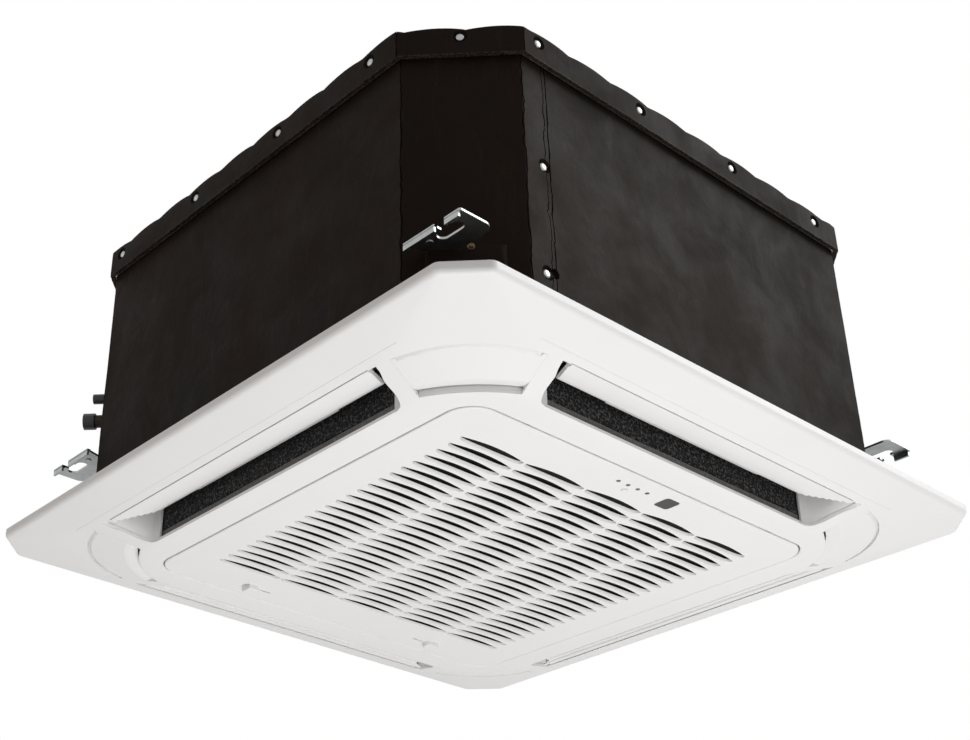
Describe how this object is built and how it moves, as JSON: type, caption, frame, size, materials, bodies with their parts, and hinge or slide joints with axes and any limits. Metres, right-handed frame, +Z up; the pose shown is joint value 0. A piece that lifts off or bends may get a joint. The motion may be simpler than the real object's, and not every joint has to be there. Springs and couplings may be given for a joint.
{
  "type": "four-way ceiling cassette air conditioner",
  "caption": "Square ceiling cassette air conditioner indoor unit: insulated body, slotted intake grille, louvred outlets, corner covers and hanger brackets.",
  "frame": {"origin": "centre of the decoration panel in the plane of the ceiling, level with the top of the panel rim", "axes": "+Z up into the ceiling; +X towards the side with the signal lights and grille hinge; +Y completes the right-handed frame"},
  "size_m": [0.647, 0.647, 0.3198],
  "materials": {
    "white_plastic": "fine satin white moulding",
    "grey_plastic": "plain light moulding",
    "black_foam": "closed-cell black foam sheet",
    "white_foam": "expanded bead foam",
    "black_plastic": "satin black moulding",
    "copper": "drawn copper tube",
    "coil_fins": "pressed aluminium fins",
    "circuit_board": "green lacquered board",
    "red_light": "tinted clear plastic",
    "yellow_light": "tinted clear plastic",
    "green_light": "tinted clear plastic",
    "motor_paint": "dark grey enamel",
    "zinc_steel": "zinc-plated sheet"
  },
  "bodies": {
    "root": {"cabinet_shell": "zinc_steel", "side_insulation": "black_foam", "top_plate": "zinc_steel", "top_insulation": "black_foam", "drain_pan": "white_foam", "evaporator_coil": "coil_fins", "bell_mouth": "black_plastic", "fan_motor": "motor_paint", "motor_plate": "zinc_steel", "electrical_box": "zinc_steel", "electrical_box_lid": "zinc_steel", "drain_pump": "black_plastic", "drain_outlet": "grey_plastic", "panel_frame": "white_plastic", "panel_seal": "black_foam", "coil_end_plate_1": "zinc_steel", "coil_end_plate_2": "zinc_steel", "gas_pipe": "copper", "liquid_pipe": "copper", "gas_pipe_cap": "black_plastic", "liquid_pipe_cap": "black_plastic", "flap_motor_1": "grey_plastic", "outlet_liner_1": "black_foam", "corner_cover_1": "white_plastic", "hanger_bracket_1": "zinc_steel", "flap_motor_2": "grey_plastic", "outlet_liner_2": "black_foam", "corner_cover_2": "white_plastic", "hanger_bracket_2": "zinc_steel", "flap_motor_3": "grey_plastic", "outlet_liner_3": "black_foam", "corner_cover_3": "white_plastic", "hanger_bracket_3": "zinc_steel", "flap_motor_4": "grey_plastic", "outlet_liner_4": "black_foam", "corner_cover_4": "white_plastic", "hanger_bracket_4": "zinc_steel", "grille_hinge_pin_1": "zinc_steel", "grille_hinge_pin_2": "zinc_steel"},
    "grille": {"intake_grille": "white_plastic", "air_filter": "black_plastic", "filter_net": "black_plastic", "display_board": "circuit_board", "receiver_window": "black_plastic", "status_light_1": "red_light", "status_light_2": "red_light", "status_light_3": "yellow_light", "status_light_4": "green_light"},
    "latch_1": {"grille_latch_1": "white_plastic"},
    "latch_2": {"grille_latch_2": "white_plastic"},
    "button": {"test_button": "white_plastic"},
    "fan": {"fan_impeller": "black_plastic", "fan_nut": "zinc_steel"},
    "flap_1": {"flap_1": "white_plastic"},
    "flap_2": {"flap_2": "white_plastic"},
    "flap_3": {"flap_3": "white_plastic"},
    "flap_4": {"flap_4": "white_plastic"}
  },
  "joints": [
    {"name": "flap_1_turn", "type": "hinge", "parent": "root", "child": "flap_1", "pos_m": [0, -0.282, -0.017], "axis": [1, 0, 0], "range_deg": [-37, 30]},
    {"name": "flap_2_turn", "type": "hinge", "parent": "root", "child": "flap_2", "pos_m": [0.282, 0, -0.017], "axis": [0, 1, 0], "range_deg": [-37, 30]},
    {"name": "flap_3_turn", "type": "hinge", "parent": "root", "child": "flap_3", "pos_m": [0, 0.282, -0.017], "axis": [-1, 0, 0], "range_deg": [-37, 30]},
    {"name": "flap_4_turn", "type": "hinge", "parent": "root", "child": "flap_4", "pos_m": [-0.282, 0, -0.017], "axis": [0, -1, 0], "range_deg": [-37, 30]},
    {"name": "grille_open", "type": "hinge", "parent": "root", "child": "grille", "pos_m": [0.206, 0, -0.0328], "axis": [0, -1, 0], "range_deg": [0, 85]},
    {"name": "latch_1_slide", "type": "slide", "parent": "grille", "child": "latch_1", "axis": [0, 1, 0], "range_m": [0, 0.01]},
    {"name": "latch_2_slide", "type": "slide", "parent": "grille", "child": "latch_2", "axis": [0, -1, 0], "range_m": [0, 0.01]},
    {"name": "button_press", "type": "slide", "parent": "grille", "child": "button", "axis": [0, 0, 1], "range_m": [0, 0.0006], "stiffness_N_per_m": 900, "springref_m": -0.0003},
    {"name": "fan_spin", "type": "hinge", "parent": "root", "child": "fan", "pos_m": [0, 0, 0.15], "axis": [0, 0, 1], "continuous": true}
  ]
}
